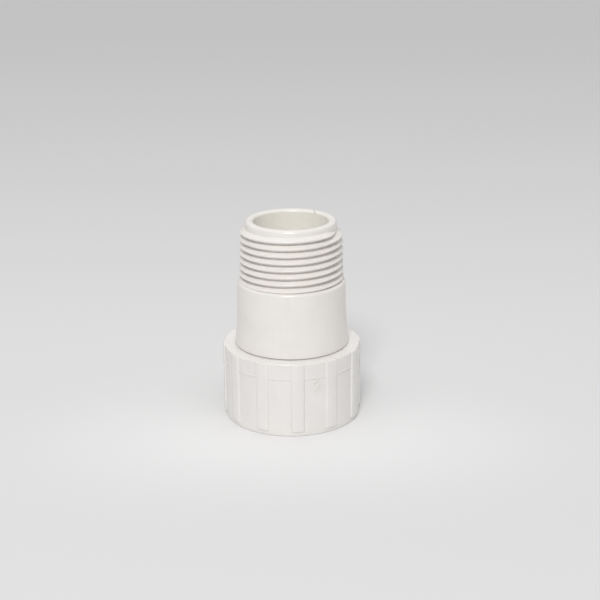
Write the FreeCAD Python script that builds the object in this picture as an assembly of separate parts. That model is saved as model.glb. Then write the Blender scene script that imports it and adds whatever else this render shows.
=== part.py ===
import FreeCAD, Part
import math
import os
from FreeCAD import Vector

# Swivel hose adapter: a body with a tapered male pipe thread stands on a ribbed nut with a female
# hose thread. Millimetres, +Z up, origin at the centre of the nut's foot, front towards -Y.
# The male thread is a true helix with few facets, and the hidden female one is a plain wall at its minor
# diameter.

# Swivel nut, 3/4 in. female hose thread
nut_height = 19.5
nut_top_wall = 2.7
nut_panel_radius = 17.45
nut_collar_relief = 0.1
nut_collar_height = 4.1
nut_top_bevel = 0.4
nut_foot_bevel = 0.25
hose_minor_radius = 12.2
hose_lead_depth = 1.7
lip_overhang = 0.2  # past the hose thread's minor diameter, towards the axis
washer_ledge_width = 1.45

# Grip ribs on the nut
rib_count = 12
rib_radius = 17.9
rib_lift = 1.25  # from the foot to the ribs' lower ends
rib_width = 3.3
rib_draft = 8.0  # degrees on each side
rib_bevel = 0.3
rib_turn = 4.75  # degrees from the front to the first rib, towards +X

# Rubber washer on the ledge above the hose thread
washer_side_gap = 0.35
washer_inner_radius = 8.0
washer_thickness = 3.0
washer_gap = 0.05

# Neck and snap flange that hold the nut
swivel_clearance = 0.05
flange_overhang = 0.6
flange_thickness = 1.6
flange_bevel = 0.7
flange_play = 0.2

# Skirt of the body
skirt_gap = 0.2
skirt_base_radius = 14.75
skirt_height = 16.45
flare_radius = 14.19
flare_height = 4.05
flare_bevel = 3.0
shoulder_radius = 13.9
shoulder_drop = 0.45

# Male end, 3/4 in. pipe thread with a taper of 1 in 16 on the diameter
waterway_radius = 9.5
waterway_bevel = 0.35
pipe_length = 15.65
pipe_neck_radius = 11.63
pipe_neck_length = 1.5
pipe_rim_bevel = 0.3
pipe_pitch = 1.8143
pipe_crest_radius = 12.97
pipe_crest_flat = 0.25
pipe_thread_depth = 1.25
pipe_taper = 1 / 32
pipe_start_drop = 0.5  # from the neck to the middle of the ridge at its start
pipe_start_turn = 69.0  # degrees from the front towards +X, and the ridge winds down towards -X
pipe_fade = 22.0  # degrees over which the ridge rises from a point
pipe_tip_share = 0.1  # of the thread's depth, at the very start
pipe_steps = 30  # facets in a turn

# Radii that follow from the hose thread
nut_hole_radius = hose_minor_radius - lip_overhang
washer_recess_radius = hose_minor_radius + washer_ledge_width
washer_outer_radius = washer_recess_radius - washer_side_gap

# Heights that follow from the stack
nut_ceiling = nut_height - nut_top_wall
flange_top = nut_ceiling - flange_play
body_end = flange_top - flange_thickness
washer_top = body_end - washer_gap
washer_seat = washer_top - washer_thickness
skirt_base = nut_height + skirt_gap
shoulder = skirt_base + skirt_height
pipe_end = shoulder + pipe_length
thread_end = pipe_end - pipe_neck_length
ridge_start = thread_end - pipe_start_drop

# Radii inside the walls, where the ribs and the thread start
rib_root = (washer_recess_radius + nut_panel_radius) / 2
thread_bore = (waterway_radius + pipe_neck_radius) / 2


# Corners of an outline in the XZ plane, each a point and how far its bevel reaches along its sides
def sharp(radius, height):
    return Vector(radius, 0, height), 0.0


def bevelled(radius, height, reach):
    return Vector(radius, 0, height), reach


# The reach of a corner's bevel, held to its share of both sides
def fitted_reach(corners, i):
    point, reach = corners[i]
    fitted = reach
    for neighbour, other_reach in (corners[i - 1], corners[(i + 1) % len(corners)]):
        side = (neighbour - point).Length
        if reach + other_reach > side:
            fitted = min(fitted, side * reach / (reach + other_reach))
    return fitted


# Solid of revolution about Z from the corners of its section
def revolved(corners):
    points = []
    for i, (point, reach) in enumerate(corners):
        if reach == 0:
            points.append(point)
            continue
        fitted = fitted_reach(corners, i)
        for neighbour in (corners[i - 1][0], corners[(i + 1) % len(corners)][0]):
            points.append(point + (neighbour - point).normalize() * fitted)
    section = Part.Face(Part.makePolygon(points + points[:1]))
    return section.revolve(Vector(0, 0, 0), Vector(0, 0, 1), 360)


# A point of the male thread in the XZ plane: share is 0 at its root and 1 at its crest, and both taper
def thread_point(height, share):
    root = pipe_crest_radius - pipe_thread_depth + (thread_end - height) * pipe_taper
    return Vector(root + share * pipe_thread_depth, 0, height)


# Section of the threaded wall on a half-plane that is turned from the thread's start, down along the helix
def thread_section(turn):
    ridges = math.ceil((ridge_start - shoulder) / pipe_pitch) + 1
    top = ridge_start + pipe_pitch / 2
    points = [Vector(thread_bore, 0, top), thread_point(top, 0)]
    for ridge in range(ridges):
        share = min(1, pipe_tip_share + (ridge * 360 + turn) / pipe_fade)
        middle = ridge_start - pipe_pitch * (ridge + turn / 360)
        points.append(thread_point(middle + share * pipe_pitch / 2, 0))
        points.append(thread_point(middle + share * pipe_crest_flat / 2, share))
        points.append(thread_point(middle - share * pipe_crest_flat / 2, share))
    bottom = middle - pipe_pitch / 2
    points += [thread_point(bottom, 0), Vector(thread_bore, 0, bottom)]
    section = Part.makePolygon(points + points[:1])
    section.rotate(Vector(0, 0, 0), Vector(0, 0, 1), pipe_start_turn - turn - 90)
    return section


# The threaded wall as two half-turn lofts, from inside the pipe's wall to the crest and down into the skirt
def thread_halves():
    half = pipe_steps // 2
    sections = [thread_section(360 * step / pipe_steps) for step in range(pipe_steps + 1)]
    return [Part.makeLoft(part, True, True) for part in (sections[:half + 1], sections[half:])]


def adapter_body():
    neck_radius = nut_hole_radius - swivel_clearance
    flange_radius = neck_radius + flange_overhang
    core = revolved([
        sharp(waterway_radius, body_end),
        bevelled(waterway_radius, pipe_end, waterway_bevel),
        bevelled(pipe_neck_radius, pipe_end, pipe_rim_bevel),
        sharp(pipe_neck_radius, shoulder),
        sharp(shoulder_radius - shoulder_drop, shoulder),
        sharp(shoulder_radius, shoulder - shoulder_drop),
        bevelled(flare_radius, skirt_base + flare_height, flare_bevel),
        sharp(skirt_base_radius, skirt_base),
        sharp(neck_radius, skirt_base),
        sharp(neck_radius, flange_top),
        sharp(flange_radius, flange_top),
        bevelled(flange_radius, body_end, flange_bevel),
    ])
    return core.multiFuse(thread_halves()).removeSplitter()


# Nut without its ribs: panels down to the foot, collar, lip, washer recess and threaded socket
def nut_shell():
    collar_base = nut_height - nut_collar_height
    collar_radius = nut_panel_radius + nut_collar_relief
    return revolved([
        sharp(hose_minor_radius + hose_lead_depth, 0),
        bevelled(nut_panel_radius, 0, nut_foot_bevel),
        sharp(nut_panel_radius, collar_base),
        sharp(collar_radius, collar_base),
        bevelled(collar_radius, nut_height, nut_top_bevel),
        sharp(nut_hole_radius, nut_height),
        sharp(nut_hole_radius, nut_ceiling),
        sharp(washer_recess_radius, nut_ceiling),
        sharp(washer_recess_radius, washer_seat),
        sharp(hose_minor_radius, washer_seat),
        sharp(hose_minor_radius, hose_lead_depth),
    ])


# One drafted bar with bevelled corners, which reaches past the ribs' round
def rib_bar(turn):
    slope = math.tan(math.radians(rib_draft))
    half = rib_width / 2
    side = [
        (rib_root, half + (rib_radius - rib_root) * slope),
        (rib_radius - rib_bevel, half + rib_bevel * slope),
        (rib_radius + rib_bevel, half - rib_bevel),
    ]
    corners = [Vector(x, y, 0) for x, y in side] + [Vector(x, -y, 0) for x, y in reversed(side)]
    bar = Part.Face(Part.makePolygon(corners + corners[:1])).extrude(Vector(0, 0, nut_height))
    bar.rotate(Vector(0, 0, 0), Vector(0, 0, 1), turn - 90)
    return bar


# The ring that the ribs are cut from, from just above the foot to the top face
def rib_ring():
    return revolved([
        sharp(rib_root, rib_lift),
        sharp(rib_radius, rib_lift),
        bevelled(rib_radius, nut_height, nut_top_bevel),
        sharp(rib_root, nut_height),
    ])


def swivel_nut():
    bars = [rib_bar(rib_turn + 360 * i / rib_count) for i in range(rib_count)]
    ribs = rib_ring().common(Part.makeCompound(bars))
    return nut_shell().multiFuse(ribs.Solids).removeSplitter()


def hose_washer():
    return revolved([
        sharp(washer_inner_radius, washer_seat),
        sharp(washer_outer_radius, washer_seat),
        sharp(washer_outer_radius, washer_top),
        sharp(washer_inner_radius, washer_top),
    ])


os.makedirs("parts", exist_ok=True)
nodes = {
    "adapter_body": adapter_body(),
    "swivel_nut": swivel_nut(),
    "hose_washer": hose_washer(),
}
for name, shape in nodes.items():
    shape.exportStep(f"parts/{name}.step")
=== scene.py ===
import math

import bmesh
import bpy
from mathutils import Matrix, Vector


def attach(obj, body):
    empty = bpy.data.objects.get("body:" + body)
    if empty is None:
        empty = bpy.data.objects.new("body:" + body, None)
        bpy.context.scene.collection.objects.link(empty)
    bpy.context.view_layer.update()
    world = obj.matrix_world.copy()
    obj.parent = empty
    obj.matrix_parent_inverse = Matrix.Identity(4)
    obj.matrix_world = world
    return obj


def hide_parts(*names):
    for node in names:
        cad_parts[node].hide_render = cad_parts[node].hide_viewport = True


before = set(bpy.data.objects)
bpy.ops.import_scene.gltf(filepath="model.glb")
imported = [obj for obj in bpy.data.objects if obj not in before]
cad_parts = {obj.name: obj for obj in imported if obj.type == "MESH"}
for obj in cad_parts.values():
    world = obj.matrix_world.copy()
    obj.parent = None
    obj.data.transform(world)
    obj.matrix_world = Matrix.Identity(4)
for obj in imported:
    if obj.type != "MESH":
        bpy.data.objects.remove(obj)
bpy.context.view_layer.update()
print("frame loaded:", ", ".join(sorted(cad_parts)))

mm = 0.001
up = Vector((0, 0, 1))
centre = Vector((0, 0, 0))
scene = bpy.context.scene

# Shared by the pieces: how near points are merged and cuts find a point, in metres, the turn in degrees that makes
# an edge sharp, and the segments of a rounding, with more of them when its reach is over largeRound millimetres
meshing = {"weld": 1e-6, "fineWeld": 1e-7, "cut": 1e-8, "sharpTurn": 32,
           "segments": 4, "largeRound": 2, "largeSegments": 12}


# Shader maths: a Wire is one output socket, and an expression on Wires adds Math nodes
class Wire:
    def __init__(self, tree, socket):
        self.tree = tree
        self.socket = socket

    def math(self, operation, left, right):
        node = self.tree.nodes.new("ShaderNodeMath")
        node.operation = operation
        for slot, value in enumerate((left, right)):
            if isinstance(value, Wire):
                self.tree.links.new(value.socket, node.inputs[slot])
            else:
                node.inputs[slot].default_value = value
        return Wire(self.tree, node.outputs[0])

    def __add__(self, other):
        return self.math("ADD", self, other)

    def __radd__(self, other):
        return self.math("ADD", other, self)

    def __sub__(self, other):
        return self.math("SUBTRACT", self, other)

    def __rsub__(self, other):
        return self.math("SUBTRACT", other, self)

    def __mul__(self, other):
        return self.math("MULTIPLY", self, other)

    def __rmul__(self, other):
        return self.math("MULTIPLY", other, self)

    def __truediv__(self, other):
        return self.math("DIVIDE", self, other)

    def __rtruediv__(self, other):
        return self.math("DIVIDE", other, self)

    def __pow__(self, other):
        return self.math("POWER", self, other)

    def __rpow__(self, other):
        return self.math("POWER", other, self)


# A node tree that starts empty. add() makes one node: its type, its settings, then its sockets' values or links
class Nodes:
    def __init__(self, owner):
        owner.use_nodes = True
        self.tree = owner.node_tree
        self.tree.nodes.clear()

    def add(self, kind, settings={}, sockets={}, result=""):
        node = self.tree.nodes.new("ShaderNode" + kind)
        for name, value in settings.items():
            setattr(node, name, value)
        inputs = {socket.identifier: socket for socket in node.inputs}
        for name, value in sockets.items():
            if isinstance(value, Wire):
                self.tree.links.new(value.socket, inputs[name])
            else:
                inputs[name].default_value = value
        outputs = {socket.identifier: socket for socket in node.outputs}
        return Wire(self.tree, outputs.get(result, next(iter(node.outputs), None)))


# A material with its nodes
class Finish(Nodes):
    def __init__(self, name):
        self.material = bpy.data.materials.new(name)
        super().__init__(self.material)

    # the piece's own coordinates in millimetres
    def place(self, stretch=(1, 1, 1)):
        coords = self.add("TexCoord", result="Object")
        scale = [share / mm for share in stretch]
        return self.add("Mapping", {}, {"Vector": coords, "Scale": scale})

    def noise(self, size, detail=2.0, stretch=(1, 1, 1)):
        return self.add("TexNoise", {}, {"Vector": self.place(stretch), "Scale": 1 / size, "Detail": detail}, "Fac")

    # a point's distances to the side and to the back of the piece's axis, in millimetres
    def plan(self):
        place = self.place()
        return [self.add("SeparateXYZ", {}, {"Vector": place}, axis) for axis in "XY"]

    # 0 at the lower end, 1 at the upper one
    def between(self, value, lower, upper):
        return self.add("MapRange", {"interpolation_type": "SMOOTHSTEP"},
                        {"Value": value, "From Min": lower, "From Max": upper})

    def tones(self, share, first, second):
        colours = [tone if isinstance(tone, Wire) else (*tone, 1) for tone in (first, second)]
        return self.add("Mix", {"data_type": "RGBA"},
                        {"Factor_Float": share, "A_Color": colours[0], "B_Color": colours[1]}, "Result_Color")

    def relief(self, height, depth):
        return self.add("Bump", {}, {"Height": height, "Distance": depth * mm})

    def show(self, shader):
        self.add("OutputMaterial", {}, {"Surface": shader})
        return self.material


# Moulded PVC: a warm white with faint clouding, flow marks along the draw and a fine orange peel. Painted light makes
# it lighter in the waterway, and painted shade makes it dark on the nick's floor, where the mesh marks it.
def mouldedPlastic(name, look):
    finish = Finish(name)
    x, y = finish.plan()
    radius = (x * x + y * y) ** 0.5
    cloud = finish.noise(look["cloudSize"], look["cloudDetail"])
    flow = finish.noise(look["flowSize"], look["flowDetail"], look["flowStretch"])
    grain = finish.noise(look["grainSize"], look["grainDetail"])
    clouded = finish.between(cloud, *look["cloudSpan"])
    flowing = finish.between(flow, *look["flowSpan"]) * look["flowShare"]
    # painted light: the waterway's wall is given a lighter tone than the outside
    paintedBoreLight = finish.between(radius, look["boreRadius"] + look["boreBlend"], look["boreRadius"])
    # painted shade: the nick's floor is darkened where the mesh marks it
    nickShade = finish.add("Attribute", {"attribute_name": "nickShade"}, {}, "Fac")
    colour = finish.tones(clouded, look["tone"], look["cloudTone"])
    colour = finish.tones(flowing, colour, look["flowTone"])
    colour = finish.tones(paintedBoreLight, colour, look["paintedBoreLightTone"])
    colour = finish.tones(nickShade, colour, look["nickShadeTone"])
    # the noises vary about 0.5
    shine = (cloud - 0.5) * look["cloudRoughness"], (grain - 0.5) * look["grainRoughness"]
    shader = finish.add("BsdfPrincipled", {}, {
        "Base Color": colour,
        "Roughness": look["roughness"] + shine[0] + shine[1],
        "IOR": look["ior"],
        "Normal": finish.relief(grain * look["grainRelief"] + flow, look["reliefDepth"]),
    })
    return finish.show(shader)


# Black rubber with a fine speckle and a faint bloom
def rubber(name, look):
    finish = Finish(name)
    speck = finish.noise(look["speckSize"], look["speckDetail"])
    bloom = finish.noise(look["bloomSize"], look["bloomDetail"])
    colour = finish.tones(finish.between(bloom, *look["bloomSpan"]), look["tone"], look["bloomTone"])
    shader = finish.add("BsdfPrincipled", {}, {
        "Base Color": colour,
        "Roughness": look["roughness"] + (speck - 0.5) * look["speckRoughness"],
        "IOR": look["ior"],
        "Normal": finish.relief(speck, look["reliefDepth"]),
    })
    return finish.show(shader)


# Sizes, radii and depths in millimetres. A span is the part of its noise that the second tone comes in over.
bodyLook = {
    "tone": (0.892, 0.859, 0.821), "cloudTone": (0.868, 0.835, 0.796), "flowTone": (0.845, 0.812, 0.772),
    "cloudSize": 7.0, "cloudDetail": 3.0, "cloudSpan": (0.35, 0.68), "cloudRoughness": 0.05,
    "flowSize": 1.6, "flowDetail": 2.0, "flowSpan": (0.55, 0.75), "flowShare": 0.5, "flowStretch": (1, 1, 0.18),
    "grainSize": 0.5, "grainDetail": 3.0, "grainRoughness": 0.04, "grainRelief": 0.6,
    "roughness": 0.24, "ior": 1.53, "reliefDepth": 0.006,
    # the waterway's lighter tone is painted light
    "boreRadius": 9.55, "boreBlend": 0.3, "paintedBoreLightTone": (0.958, 0.935, 0.872),
    # the nick's dark tone is painted shade
    "nickShadeTone": (0.33, 0.32, 0.29),
}
nutLook = dict(bodyLook, tone=(0.882, 0.859, 0.834), cloudTone=(0.858, 0.836, 0.81),
               flowTone=(0.835, 0.811, 0.784), boreRadius=0)
washerLook = {
    "tone": (0.028, 0.028, 0.029), "bloomTone": (0.05, 0.049, 0.047),
    "speckSize": 0.35, "speckDetail": 3.0, "speckRoughness": 0.15,
    "bloomSize": 3.0, "bloomDetail": 2.0, "bloomSpan": (0.4, 0.7),
    "roughness": 0.72, "ior": 1.5, "reliefDepth": 0.03,
}
bodyPlastic = mouldedPlastic("bodyPlastic", bodyLook)
nutPlastic = mouldedPlastic("nutPlastic", nutLook)
washerRubber = rubber("washerRubber", washerLook)
print("finishes made")


# Outline of a turned shape in the XZ plane: each corner is its radius, its height and the reach of its rounding
def outline(bm, corners):
    verts = [bm.verts.new((radius * mm, 0, height * mm)) for radius, height, reach in corners]
    for first, second in zip(verts, verts[1:] + verts[:1]):
        bm.edges.new((first, second))
    for vert, (radius, height, reach) in zip(verts, corners):
        if reach:
            segments = meshing["largeSegments"] if reach > meshing["largeRound"] else meshing["segments"]
            bmesh.ops.bevel(bm, geom=[vert], affect="VERTICES", offset=reach * mm, offset_type="OFFSET",
                            segments=segments, profile=0.5, material=-1)


# Turns an outline into a closed solid
def turned(bm, steps):
    bmesh.ops.spin(bm, geom=bm.verts[:] + bm.edges[:], cent=centre, axis=up, dvec=centre,
                   angle=math.tau, steps=steps, use_merge=True)
    bmesh.ops.remove_doubles(bm, verts=bm.verts[:], dist=meshing["fineWeld"])
    bmesh.ops.recalc_face_normals(bm, faces=bm.faces[:])


# Radius of a thread's root at a height in mm, for a root that tapers
def rootRadius(thread, height):
    return thread["rootRadius"] + (thread["rootHeight"] - height) * thread["taper"]


# A thread's ridge as a closed shell of its own, sunk a little into the root that it stands on. It winds down from
# its start and tapers to a tip at both ends, over ramps in degrees. side is 1 for an outer thread and -1 for an
# inner one.
def threadRidge(thread, side):
    ridge = bmesh.new()
    travel = ridge.verts.layers.float.new("travel")  # turns from the start
    flank = math.tan(math.radians(thread["flankAngle"]))
    halfCrest = thread["crestFlat"] / 2
    halfRoot = halfCrest + (thread["depth"] + thread["sunk"]) * flank
    section = [(-thread["sunk"], -halfRoot, 0), (thread["depth"], -halfCrest, thread["crestRound"]),
               (thread["depth"], halfCrest, thread["crestRound"]), (-thread["sunk"], halfRoot, 0)]
    outline(ridge, [(thread["rootRadius"] + side * out, along, reach) for out, along, reach in section])
    perStep = len(ridge.verts)
    steps = thread["stepsPerTurn"]
    bmesh.ops.spin(ridge, geom=ridge.verts[:] + ridge.edges[:], cent=centre, axis=up,
                   dvec=-thread["pitch"] / steps * mm * up, angle=-math.tau, steps=steps, use_merge=False)
    for number, vert in enumerate(ridge.verts):
        vert[travel] = number // perStep / steps
    firstTurn = ridge.verts[:] + ridge.edges[:] + ridge.faces[:]
    for count in range(1, thread["turns"]):
        copied = bmesh.ops.duplicate(ridge, geom=firstTurn)["geom"]
        verts = [item for item in copied if isinstance(item, bmesh.types.BMVert)]
        bmesh.ops.translate(ridge, verts=verts, vec=-count * thread["pitch"] * mm * up)
        for vert in verts:
            vert[travel] += count
    bmesh.ops.remove_doubles(ridge, verts=ridge.verts[:], dist=meshing["weld"])
    bmesh.ops.holes_fill(ridge, edges=[edge for edge in ridge.edges if edge.is_boundary], sides=0)
    for vert in ridge.verts:
        fromStart = vert[travel] * 360
        fromEnd = (thread["turns"] - vert[travel]) * 360
        share = min(1, thread["tipShare"] + fromStart / thread["startRamp"],
                    thread["tipShare"] + fromEnd / thread["endRamp"])
        middle = thread["startHeight"] - vert[travel] * thread["pitch"]
        along = vert.co.z / mm + vert[travel] * thread["pitch"]
        flat = Vector((vert.co.x, vert.co.y, 0))
        out = (flat.length / mm - thread["rootRadius"]) * side
        radius = rootRadius(thread, middle) + side * (out * share ** thread["rampPower"] if out > 0 else out)
        vert.co = (flat.normalized() * radius + up * (middle + along * share)) * mm
    bmesh.ops.rotate(ridge, verts=ridge.verts[:], cent=centre,
                     matrix=Matrix.Rotation(math.radians(thread["start"] - 90), 3, "Z"))
    bmesh.ops.recalc_face_normals(ridge, faces=ridge.faces[:])
    return ridge


# Adds one finished shell to another mesh
def joinShell(bm, shell):
    holder = bpy.data.meshes.new("shell")
    shell.to_mesh(holder)
    shell.free()
    bm.from_mesh(holder)
    bpy.data.meshes.remove(holder)


# Makes the finished mesh a piece: smooth faces, creases kept sharp
def asPiece(name, bm, material, body, node):
    for face in bm.faces:
        face.smooth = True
    for edge in bm.edges:
        edge.smooth = edge.is_boundary or edge.calc_face_angle(0) < math.radians(meshing["sharpTurn"])
    mesh = bpy.data.meshes.new(name)
    bm.to_mesh(mesh)
    bm.free()
    mesh.materials.append(material)
    piece = bpy.data.objects.new(name, mesh)
    scene.collection.objects.link(piece)
    weighted = piece.modifiers.new("flatFaces", "WEIGHTED_NORMAL")
    weighted.keep_sharp = True
    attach(piece, body)
    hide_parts(node)
    print(name, "has", len(mesh.vertices), "vertices")


# The body: waterway, tapered male thread, skirt, and the neck and snap flange inside the nut. The pieces' lengths
# are in millimetres and their angles in degrees.
body = {
    "steps": 288,
    "waterwayRadius": 9.5, "waterwayRound": 0.15,
    "endHeight": 15.0, "flangeTop": 16.6, "flangeRadius": 12.55, "flangeTopRound": 0.1, "flangeLeadRound": 0.7,
    "neckRadius": 11.95, "skirtBase": 19.7, "skirtBaseRadius": 14.75, "skirtBaseRound": 0.12,
    "flareHeight": 23.75, "flareRadius": 14.19, "flareReach": 3.37,
    "shoulderHeight": 36.1, "shoulderRadius": 13.89, "shoulderRound": 0.5, "shoulderSlope": 0.3,
    "rimHeight": 52.03, "rimRadius": 11.7, "rimSlope": 0.2, "rimInnerRound": 0.6, "rimRound": 1.05,
    "neckEnd": 50.6,
    # the nick across the back of the rim: a point on it, its direction in degrees from +Y towards -X, half its width
    # at the top and at the bottom, its depth, the height that it fades out at and the rise to its full depth, then
    # how far round it faces are cut and the spare that finds the floor's own points
    "nickPlace": (5.97, 8.5), "nickSlant": 12, "nickHalf": 0.1, "nickFloor": 0.07, "nickDepth": 0.8,
    "nickFoot": 51.0, "nickRise": 0.9, "nickReach": 1, "nickSpare": 0.005,
    # the height on the rim that the painted shade in the nick begins at and the rise to its full tone
    "nickShadeFoot": 51.45, "nickShadeRise": 0.25,
}
# A thread's start is its angle from the front, -Y, towards +X. Its root radius is taken at rootHeight, and
# tipShare is the share of the full ridge that is left at its tips.
maleThread = {
    "pitch": 1.8143, "turns": 8, "start": 69, "startHeight": 49.798,
    "startRamp": 22, "endRamp": 20, "rampPower": 0.7, "tipShare": 0.04,
    "rootRadius": 11.7, "rootHeight": 49.45, "taper": 1 / 32, "depth": 1.3, "flankAngle": 30,
    "crestFlat": 0.25, "crestRound": 0.115, "sunk": 0.05, "stepsPerTurn": 180,
}


# Cuts the nick into the turned rim as a narrow slit, and marks painted shade on its floor
def nickRim(bm):
    across = Matrix.Rotation(math.radians(body["nickSlant"]), 3, "Z") @ Vector((1, 0, 0))
    place = Vector((*body["nickPlace"], 0)) * mm

    def near(point, reach):
        return (point.y > 0 and point.z / mm > body["nickFoot"] and abs((point - place).dot(across)) / mm < reach)

    for side in (-body["nickHalf"], -body["nickFloor"], body["nickFloor"], body["nickHalf"]):
        faces = [face for face in bm.faces if near(face.calc_center_median(), body["nickReach"])]
        geom = list({item for face in faces for item in (face, *face.edges, *face.verts)})
        bmesh.ops.bisect_plane(bm, geom=geom, dist=meshing["cut"],
                               plane_co=place + across * side * mm, plane_no=across)
    # painted shade: a dark mark on the nick's floor that stands for its shadow
    nickShade = bm.verts.layers.float.new("nickShade")
    for vert in bm.verts:
        if near(vert.co, body["nickFloor"] + body["nickSpare"]):
            height = vert.co.z / mm
            vert[nickShade] = max(0, min(1, (height - body["nickShadeFoot"]) / body["nickShadeRise"]))
            vert.co.z -= body["nickDepth"] * min(1, (height - body["nickFoot"]) / body["nickRise"]) * mm


def bodyPiece():
    bm = bmesh.new()
    shoulder = body["shoulderHeight"]
    grooveRadius = rootRadius(maleThread, shoulder)
    outline(bm, [
        (body["waterwayRadius"], body["endHeight"], body["waterwayRound"]),
        (body["waterwayRadius"], body["rimHeight"] - body["rimSlope"], body["rimInnerRound"]),
        (body["rimRadius"], body["rimHeight"], body["rimRound"]),
        (rootRadius(maleThread, body["neckEnd"]), body["neckEnd"], 0),
        (grooveRadius, shoulder + (body["shoulderRadius"] - grooveRadius) * body["shoulderSlope"], 0),
        (body["shoulderRadius"], shoulder, body["shoulderRound"]),
        (body["flareRadius"], body["flareHeight"], body["flareReach"]),
        (body["skirtBaseRadius"], body["skirtBase"], body["skirtBaseRound"]),
        (body["neckRadius"], body["skirtBase"], 0),
        (body["neckRadius"], body["flangeTop"], 0),
        (body["flangeRadius"], body["flangeTop"], body["flangeTopRound"]),
        (body["flangeRadius"], body["endHeight"], body["flangeLeadRound"]),
    ])
    turned(bm, body["steps"])
    nickRim(bm)
    joinShell(bm, threadRidge(maleThread, 1))
    asPiece("adapterBody", bm, bodyPlastic, "adapter", "adapter_body")


bodyPiece()


# The nut: twelve drafted and crowned ribs, raised band with a fine bead along its lower edge, lip round the neck,
# washer recess and female thread
nut = {
    "ribs": 12, "firstRib": 4.75, "ribRadius": 17.9, "ribWidth": 3.3, "draft": 8, "crown": 0.25,
    "ribRootRound": 0.1, "ribEdgeRound": 0.33, "ribFoot": 1.2, "ribFootSlope": 0.12, "ribFootRound": 0.12,
    # a side of the rib's outline over longSide is cut up, and the points this far inside the crest and outside the
    # root are put on their own radius
    "longSide": 2, "longCuts": 9, "crestMargin": 0.3, "rootMargin": 0.2,
    "panelRadius": 17.45, "footRound": 0.28,
    # the band from its base up: a step out to the bead, back in to the waist, and out again to the collar at the top
    "bandBase": 15.15, "bandBaseRound": 0.05, "beadSlope": 0.12, "beadRadius": 17.66, "beadRound": 0.03,
    "beadSpan": 0.38, "waistRadius": 17.49, "waistRound": 0.15, "collarRadius": 17.62, "collarRound": 0.4,
    "height": 19.5, "holeRadius": 12.0, "holeRound": 0.3, "ceiling": 16.8, "ceilingRound": 0.1,
    "recessRadius": 13.65, "recessRound": 0.15, "ledge": 11.95, "ledgeRound": 0.1, "minorRadius": 12.2,
    # depths under the ledge that the minor radius ends at and the thread's root begins at
    "ledgeFoot": 0.5, "threadTop": 1.4,
    "leadHeight": 1.0, "leadRadius": 13.9, "leadRound": 0.1,
    "smallRound": 0.2, "smallSegments": 2,  # roundings up to this reach have fewer segments
    "mark": "2", "markSize": 3.9, "markTurn": 21.0, "markHeight": 12.05, "markRise": 0.16, "markSunk": 0.1,
    "markWiden": 0.04, "markBevel": 0.02,
}
femaleThread = {
    "pitch": 2.2087, "turns": 4, "start": 150, "startHeight": 10.8,
    "startRamp": 30, "endRamp": 40, "rampPower": 0.7, "tipShare": 0.04,
    "rootRadius": 13.62, "rootHeight": 0, "taper": 0, "depth": 1.42, "flankAngle": 30,
    "crestFlat": 0.276, "crestRound": 0.12, "sunk": 0.05, "stepsPerTurn": 144,
}


# One pitch of the gear-like outline about -Y, spun to the full round. The rib layer holds each point's share of a rib
def ribOutline(bm):
    slope = math.tan(math.radians(nut["draft"]))
    half = math.radians(180 / nut["ribs"])
    crest = nut["ribWidth"] / 2
    root = crest + (nut["ribRadius"] - nut["panelRadius"]) * slope
    points = []
    for side in (-1, 1):
        corners = [(side * nut["panelRadius"] * math.sin(half), nut["panelRadius"] * math.cos(half))]
        corners += [(side * wide, math.sqrt(radius ** 2 - wide ** 2)) for wide, radius
                    in ((root, nut["panelRadius"]), (crest, nut["ribRadius"]))]
        points += corners if side < 0 else corners[::-1]
    verts = [bm.verts.new((x * mm, -y * mm, 0)) for x, y in points]
    for pair in zip(verts, verts[1:]):
        bm.edges.new(pair)
    rounds = [nut[name] for name in ("ribRootRound", "ribEdgeRound", "ribEdgeRound", "ribRootRound")]
    for vert, reach in zip(verts[1:-1], rounds):
        bmesh.ops.bevel(bm, geom=[vert], affect="VERTICES", offset=reach * mm, offset_type="OFFSET",
                        segments=meshing["segments"], profile=0.5, material=-1)
    longEdges = [edge for edge in bm.edges if edge.calc_length() > nut["longSide"] * mm]
    bmesh.ops.subdivide_edges(bm, edges=longEdges, cuts=nut["longCuts"])
    share = bm.verts.layers.float.new("rib")
    for vert in bm.verts:
        radius = vert.co.length / mm
        wide = abs(vert.co.x) / mm
        if wide < crest - nut["crestMargin"]:
            radius = nut["ribRadius"]
        elif wide > root + nut["rootMargin"]:
            radius = nut["panelRadius"]
        rise = (radius - nut["panelRadius"]) / (nut["ribRadius"] - nut["panelRadius"])
        vert[share] = rise * (1 - nut["crown"] * min(1, wide / crest) ** 2)
    bmesh.ops.spin(bm, geom=bm.verts[:] + bm.edges[:], cent=centre, axis=up, dvec=centre,
                   angle=math.tau, steps=nut["ribs"], use_duplicate=True)
    bmesh.ops.remove_doubles(bm, verts=bm.verts[:], dist=meshing["weld"])
    bmesh.ops.rotate(bm, verts=bm.verts[:], cent=centre,
                     matrix=Matrix.Rotation(math.radians(nut["firstRib"]), 3, "Z"))
    return share


# Puts a loop's points at a height, on the panel's radius or on the rib's by their share
def placeLoop(verts, share, height, panelRadius, ribRadius):
    for vert in verts:
        radius = panelRadius + (ribRadius - panelRadius) * vert[share]
        vert.co = Vector((vert.co.x, vert.co.y, 0)).normalized() * radius * mm + up * height * mm


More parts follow.
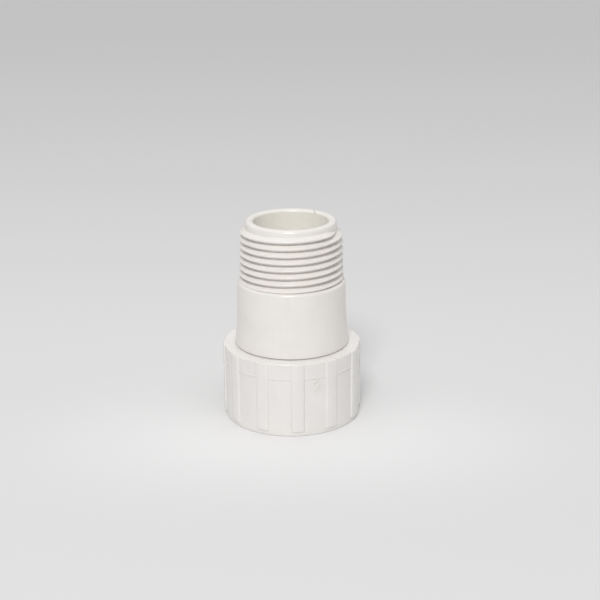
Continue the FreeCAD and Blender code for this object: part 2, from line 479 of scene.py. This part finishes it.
# The raised cavity number as a shell of its own, bent round a panel and sunk a little into it
def cavityNumber():
    letters = bpy.data.curves.new("cavityNumber", "FONT")
    letters.body = nut["mark"]
    letters.size = nut["markSize"] * mm
    letters.align_x = "CENTER"
    letters.extrude = (nut["markRise"] + nut["markSunk"]) / 2 * mm
    letters.offset = nut["markWiden"] * mm
    letters.bevel_depth = nut["markBevel"] * mm
    letters.bevel_resolution = 1
    holder = bpy.data.objects.new("cavityNumber", letters)
    mesh = bpy.data.meshes.new_from_object(holder)
    bpy.data.objects.remove(holder)
    bpy.data.curves.remove(letters)
    mark = bmesh.new()
    mark.from_mesh(mesh)
    bpy.data.meshes.remove(mesh)
    bmesh.ops.remove_doubles(mark, verts=mark.verts[:], dist=meshing["fineWeld"])
    middle = (nut["markRise"] - nut["markSunk"]) / 2
    for vert in mark.verts:
        turn = math.radians(nut["markTurn"]) + vert.co.x / mm / nut["panelRadius"]
        radius = nut["panelRadius"] + middle + vert.co.z / mm
        height = nut["markHeight"] + vert.co.y / mm
        vert.co = Vector((math.sin(turn) * radius, -math.cos(turn) * radius, height)) * mm
    bmesh.ops.recalc_face_normals(mark, faces=mark.faces[:])
    return mark


def nutPiece():
    bm = bmesh.new()
    share = ribOutline(bm)
    foot, base, top, ledge = nut["ribFoot"], nut["bandBase"], nut["height"], nut["ledge"]
    panel, rib, hole, recess = nut["panelRadius"], nut["ribRadius"], nut["holeRadius"], nut["recessRadius"]
    minor, root = nut["minorRadius"], femaleThread["rootRadius"]
    bead = base + nut["beadSlope"]
    # height, radius between the ribs, radius on the ribs, rounding: up the outside and down the inside
    levels = [
        (0, panel, panel, nut["footRound"]),
        (foot, panel, panel, 0),
        (foot + nut["ribFootSlope"], panel, rib, nut["ribFootRound"]),
        (base, panel, rib, nut["bandBaseRound"]),
        (bead, nut["beadRadius"], rib, nut["beadRound"]),
        (bead + nut["beadSpan"] / 2, (nut["beadRadius"] + nut["waistRadius"]) / 2, rib, 0),
        (bead + nut["beadSpan"], nut["waistRadius"], rib, nut["waistRound"]),
        (top, nut["collarRadius"], rib, nut["collarRound"]),
        (top, hole, hole, nut["holeRound"]),
        (nut["ceiling"], hole, hole, nut["ceilingRound"]),
        (nut["ceiling"], recess, recess, nut["recessRound"]),
        (ledge, recess, recess, 0),
        (ledge, minor, minor, nut["ledgeRound"]),
        (ledge - nut["ledgeFoot"], minor, minor, nut["ledgeRound"]),
        (ledge - nut["threadTop"], root, root, 0),
        (nut["leadHeight"], root, root, 0),
        (0, nut["leadRadius"], nut["leadRadius"], nut["leadRound"]),
    ]
    verts, edges = bm.verts[:], bm.edges[:]
    placeLoop(verts, share, *levels[0][:3])
    loops = [edges]
    for level in levels[1:]:
        grown = bmesh.ops.extrude_edge_only(bm, edges=edges)["geom"]
        verts = [item for item in grown if isinstance(item, bmesh.types.BMVert)]
        kept = set(verts)
        edges = [item for item in grown if isinstance(item, bmesh.types.BMEdge) and set(item.verts) <= kept]
        placeLoop(verts, share, *level[:3])
        loops.append(edges)
    bmesh.ops.bridge_loops(bm, edges=loops[0] + loops[-1])
    bmesh.ops.recalc_face_normals(bm, faces=bm.faces[:])
    for loop, level in zip(loops, levels):
        reach = level[-1]
        if reach:
            segments = meshing["segments"] if reach > nut["smallRound"] else nut["smallSegments"]
            bmesh.ops.bevel(bm, geom=loop, affect="EDGES", offset=reach * mm, offset_type="OFFSET",
                            segments=segments, profile=0.5, material=-1, clamp_overlap=True)
    joinShell(bm, threadRidge(femaleThread, -1))
    joinShell(bm, cavityNumber())
    asPiece("swivelNut", bm, nutPlastic, "nut", "swivel_nut")


nutPiece()


# The washer: a rubber ring on the ledge above the female thread
washer = {"steps": 144, "innerRadius": 8.0, "outerRadius": 13.3, "bottom": 11.95, "top": 14.95, "round": 0.35}


def washerPiece():
    bm = bmesh.new()
    outline(bm, [(radius, height, washer["round"]) for radius, height in (
        (washer["innerRadius"], washer["bottom"]), (washer["outerRadius"], washer["bottom"]),
        (washer["outerRadius"], washer["top"]), (washer["innerRadius"], washer["top"]))])
    turned(bm, washer["steps"])
    asPiece("hoseWasher", bm, washerRubber, "nut", "hose_washer")


washerPiece()


# Studio: pale paper floor, even light from all round that is strongest high behind, and a soft key lamp in front.
studio = {
    # the paper is a disc in metres, and its tone goes from front to back between two places in millimetres
    "floorRadius": 3.0, "floorSteps": 96, "frontTone": 0.73, "backTone": 0.79, "toneStart": -120, "toneEnd": 100,
    "warmth": 0.995,  # green and blue against red
    # painted light makes it lighter far out and in a pool before the nut, and a painted shadow makes it darker in a
    # dim
    # spot under the nut: gain in tone, place behind the axis, and reach across and along
    "farPaintedLightGain": 0.02, "farReach": 700,
    "paintedPoolGain": 0.13, "paintedPoolPlace": -20, "paintedPoolReach": (48, 26),
    "paintedShadowGain": 0.17, "paintedShadowPlace": 10, "paintedShadowReach": (21, 14),
    "airStrength": 0.225, "skyGain": 0.86, "skyPlace": (0, 0.5, 0.866),
    # the key lamp's turn from the front and its height in degrees, its distance and size in metres, its watts
    "keyTurn": -7, "keyHeight": 45, "keyAway": 1.0, "keySize": 0.3, "keyPower": 5.25,
}


def floorPaper():
    finish = Finish("floorPaper")
    x, y = finish.plan()

    # 1 at a place on the floor's middle line, falling off smoothly all round it
    def spot(place, reach):
        across, along = x / reach[0], (y - place) / reach[1]
        return math.e ** ((across * across + along * along) * -1)

    # painted light: a pool before the nut; painted shadow: a dim spot under the nut
    paintedPool = spot(studio["paintedPoolPlace"], studio["paintedPoolReach"])
    paintedShadow = spot(studio["paintedShadowPlace"], studio["paintedShadowReach"])
    back = finish.between(y, studio["toneStart"], studio["toneEnd"])
    level = studio["frontTone"] + back * (studio["backTone"] - studio["frontTone"])
    # painted light: the floor's tone rises far out
    far = (x * x + y * y) / studio["farReach"] ** 2
    level = level + far * studio["farPaintedLightGain"] + paintedPool * studio["paintedPoolGain"] - paintedShadow * studio["paintedShadowGain"]
    cooler = level * studio["warmth"]
    colour = finish.add("CombineColor", {}, {"Red": level, "Green": cooler, "Blue": cooler})
    paper = finish.add("BsdfDiffuse", {}, {"Color": colour})
    beneath = finish.add("BsdfTransparent")  # so that the object can be seen from below
    fromBelow = finish.add("NewGeometry", result="Backfacing")
    return finish.show(finish.add("MixShader", {}, {"Fac": fromBelow, "Shader": paper, "Shader_001": beneath}))


def keyLamp():
    lamp = bpy.data.lights.new("keyLamp", "AREA")
    lamp.shape = "DISK"
    lamp.size = studio["keySize"]
    lamp.energy = studio["keyPower"]
    holder = bpy.data.objects.new("keyLamp", lamp)
    scene.collection.objects.link(holder)
    holder.matrix_world = (Matrix.Rotation(math.radians(studio["keyTurn"]), 4, "Z")
                           @ Matrix.Rotation(math.radians(90 - studio["keyHeight"]), 4, "X")
                           @ Matrix.Translation(studio["keyAway"] * up))


def studioAir():
    world = bpy.data.worlds.new("studioAir")
    scene.world = world
    air = Nodes(world)
    direction = air.add("TexCoord", result="Generated")
    sky = air.add("VectorMath", {"operation": "DOT_PRODUCT"},
                  {"Vector": direction, "Vector_001": studio["skyPlace"]}, "Value")
    sky = sky.math("MAXIMUM", sky, 0)
    strength = studio["airStrength"] + sky * sky * studio["skyGain"]
    background = air.add("Background", {}, {"Color": (1, 1, 1, 1), "Strength": strength})
    air.add("OutputWorld", {}, {"Surface": background})


def buildStudio():
    bm = bmesh.new()
    bmesh.ops.create_circle(bm, cap_ends=True, radius=studio["floorRadius"], segments=studio["floorSteps"])
    mesh = bpy.data.meshes.new("floor")
    bm.to_mesh(mesh)
    bm.free()
    mesh.materials.append(floorPaper())
    floor = bpy.data.objects.new("floor", mesh)
    scene.collection.objects.link(floor)

    keyLamp()
    studioAir()


buildStudio()

# Camera at the photograph's place: turns in degrees, the focal length and the square picture's width in pixels, the
# sensor in millimetres, and the nearest and farthest that it sees in metres
view = {
    "place": (2.18 * mm, -306.3 * mm, 134.6 * mm), "down": 18.79, "roll": 0.43,
    "focalPixels": 1257.6, "pictureWidth": 600, "sensor": 36, "nearest": 0.01, "farthest": 20,
}
camera = bpy.data.cameras.new("camera")
camera.sensor_width = view["sensor"]
camera.lens = view["focalPixels"] / view["pictureWidth"] * view["sensor"]
camera.clip_start = view["nearest"]
camera.clip_end = view["farthest"]
eye = bpy.data.objects.new("camera", camera)
scene.collection.objects.link(eye)
eye.matrix_world = (Matrix.Translation(view["place"]) @ Matrix.Rotation(math.radians(90 - view["down"]), 4, "X")
                    @ Matrix.Rotation(math.radians(-view["roll"]), 4, "Z"))
scene.camera = eye
scene.view_settings.view_transform = "Standard"
print("studio and camera ready")
